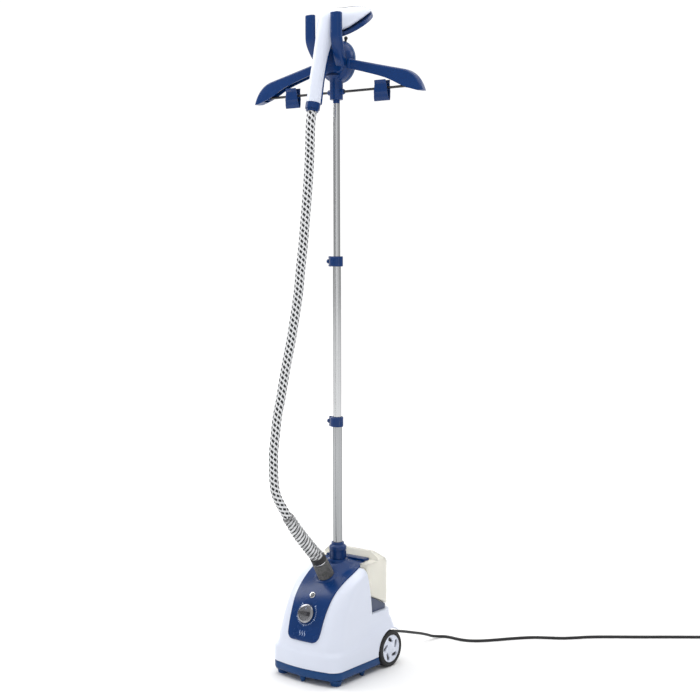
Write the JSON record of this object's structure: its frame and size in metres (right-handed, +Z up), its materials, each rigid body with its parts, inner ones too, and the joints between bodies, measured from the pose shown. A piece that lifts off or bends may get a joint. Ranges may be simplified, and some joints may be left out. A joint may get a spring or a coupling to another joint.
{
  "type": "garment steamer",
  "caption": "Upright garment steamer: wheeled base with boiler and lift-off rear water tank, telescopic mast, shoulder hanger with clips, and a steam handset on a braided hose.",
  "frame": {"origin": "on the floor, under the middle of the steamer's bounding box with the mains cord left out", "axes": "+Z up along the mast, -Y towards the front with the dial, +X to the right of someone who faces the steamer"},
  "size_m": [0.9634, 1.171, 1.5855],
  "materials": {
    "navy_plastic": "glossy moulded plastic",
    "white_plastic": "glossy moulded plastic",
    "slate_plastic": "satin moulded plastic",
    "black_plastic": "matt moulded plastic",
    "black_rubber": "matt rubber",
    "tyre_rubber": "matt rubber",
    "satin_tube": "satin anodised tube",
    "cast_metal": "as-cast",
    "steel": "bright steel",
    "chrome_ring": "polished",
    "smoky_clear": "smoky clear plastic",
    "guard_plastic": "clear grey flexible plastic",
    "tank_clear": "clear moulded plastic",
    "lens": "clear tinted lens",
    "dial_grey": "silver-grey plastic",
    "braid": "white woven sleeve with black fleck",
    "silicone": "silicone tube",
    "black_metal": "black painted rod"
  },
  "bodies": {
    "base": {"base_tray": "navy_plastic", "feet": "navy_plastic", "base_screws": "steel", "body_shell": "white_plastic", "top_cover": "navy_plastic", "tank_seat": "slate_plastic", "axle": "steel", "boiler_body": "cast_metal", "heating_element": "steel", "thermostat": "black_plastic", "thermal_fuse": "black_plastic", "feed_tube": "silicone", "steam_pipe": "silicone", "rotary_switch": "black_plastic", "terminal_block": "black_plastic", "indicator_lens": "lens", "hose_connector": "smoky_clear", "hose_ring": "chrome_ring", "hose_guard": "guard_plastic", "lower_tube": "satin_tube", "lower_clamp": "navy_plastic", "lower_clamp_pin": "steel", "cord_gland": "black_plastic", "cord_clamp": "black_plastic", "steam_hose": "braid", "mains_cord": "black_rubber", "mains_coil": "black_rubber", "coil_tie": "navy_plastic", "mains_plug": "black_rubber"},
    "left_wheel": {"tyre_left": "tyre_rubber", "hubcap_left": "white_plastic"},
    "right_wheel": {"tyre_right": "tyre_rubber", "hubcap_right": "white_plastic"},
    "dial": {"dial_knob": "dial_grey"},
    "nut": {"lock_nut": "navy_plastic"},
    "low_lever": {"lower_lever": "navy_plastic"},
    "mast_middle": {"middle_tube": "satin_tube", "upper_clamp": "navy_plastic", "upper_clamp_pin": "steel"},
    "high_lever": {"upper_lever": "navy_plastic"},
    "mast_upper": {"upper_tube": "satin_tube", "hanger_hub": "navy_plastic", "hub_cover": "navy_plastic", "handset_cradle": "navy_plastic", "rest_pegs": "black_plastic", "arm_left": "navy_plastic", "arm_right": "navy_plastic", "clip_bars": "black_metal"},
    "clip_left": {"clip_back_left": "navy_plastic"},
    "clip_left_jaw": {"clip_front_left": "navy_plastic"},
    "clip_right": {"clip_back_right": "navy_plastic"},
    "clip_right_jaw": {"clip_front_right": "navy_plastic"},
    "handset": {"handset_shell": "white_plastic", "handset_back": "navy_plastic", "handset_cuff": "navy_plastic", "steam_plate": "navy_plastic"},
    "water_tank": {"tank_shell": "tank_clear", "tank_cap": "navy_plastic", "tank_valve": "navy_plastic"},
    "plunger": {"valve_plunger": "black_plastic"}
  },
  "joints": [
    {"name": "left_wheel_spin", "type": "hinge", "parent": "base", "child": "left_wheel", "pos_m": [-0.09, 0.088, 0.044], "axis": [1, 0, 0], "continuous": true},
    {"name": "right_wheel_spin", "type": "hinge", "parent": "base", "child": "right_wheel", "pos_m": [0.09, 0.088, 0.044], "axis": [1, 0, 0], "continuous": true},
    {"name": "dial_turn", "type": "hinge", "parent": "base", "child": "dial", "pos_m": [0, -0.1095, 0.157], "axis": [0, -0.9205, 0.3907], "range_deg": [-270, 0]},
    {"name": "nut_turn", "type": "hinge", "parent": "base", "child": "nut", "pos_m": [0, 0.008, 0.28], "axis": [0, 0, 1], "range_deg": [0, 90]},
    {"name": "low_lever_turn", "type": "hinge", "parent": "base", "child": "low_lever", "pos_m": [-0.02, 0.008, 0.599], "axis": [0, 0, -1], "range_deg": [0, 100]},
    {"name": "mast_middle_slide", "type": "slide", "parent": "base", "child": "mast_middle", "axis": [0, 0, 1], "range_m": [-0.35, 0], "deforming": ["steam_hose"]},
    {"name": "high_lever_turn", "type": "hinge", "parent": "mast_middle", "child": "high_lever", "pos_m": [-0.02, 0.008, 0.981], "axis": [0, 0, -1], "range_deg": [0, 100]},
    {"name": "mast_upper_slide", "type": "slide", "parent": "mast_middle", "child": "mast_upper", "axis": [0, 0, 1], "range_m": [-0.36, 0], "deforming": ["steam_hose"]},
    {"name": "clip_left_slide", "type": "slide", "parent": "mast_upper", "child": "clip_left", "axis": [1, 0, 0], "range_m": [0, 0.075]},
    {"name": "clip_left_open", "type": "hinge", "parent": "clip_left", "child": "clip_left_jaw", "pos_m": [-0.133, 0.008, 1.376], "axis": [1, 0, 0], "range_deg": [-25, 0], "stiffness_Nm_per_rad": 0.05, "springref_deg": 17.19},
    {"name": "clip_right_slide", "type": "slide", "parent": "mast_upper", "child": "clip_right", "axis": [-1, 0, 0], "range_m": [0, 0.075]},
    {"name": "clip_right_open", "type": "hinge", "parent": "clip_right", "child": "clip_right_jaw", "pos_m": [0.133, 0.008, 1.376], "axis": [1, 0, 0], "range_deg": [-25, 0], "stiffness_Nm_per_rad": 0.05, "springref_deg": 17.19},
    {"name": "handset_lift", "type": "slide", "parent": "mast_upper", "child": "handset", "axis": [0, 0, 1], "range_m": [0, 0.25], "deforming": ["steam_hose"]},
    {"name": "tank_lift", "type": "slide", "parent": "base", "child": "water_tank", "axis": [0, 0, 1], "range_m": [0, 0.2]},
    {"name": "plunger_drop", "type": "slide", "parent": "water_tank", "child": "plunger", "axis": [0, 0, 1], "range_m": [-0.003, 0]}
  ],
  "couplings": [
    {"joint": "plunger_drop", "follows": "tank_lift", "ratio": -0.015}
  ]
}
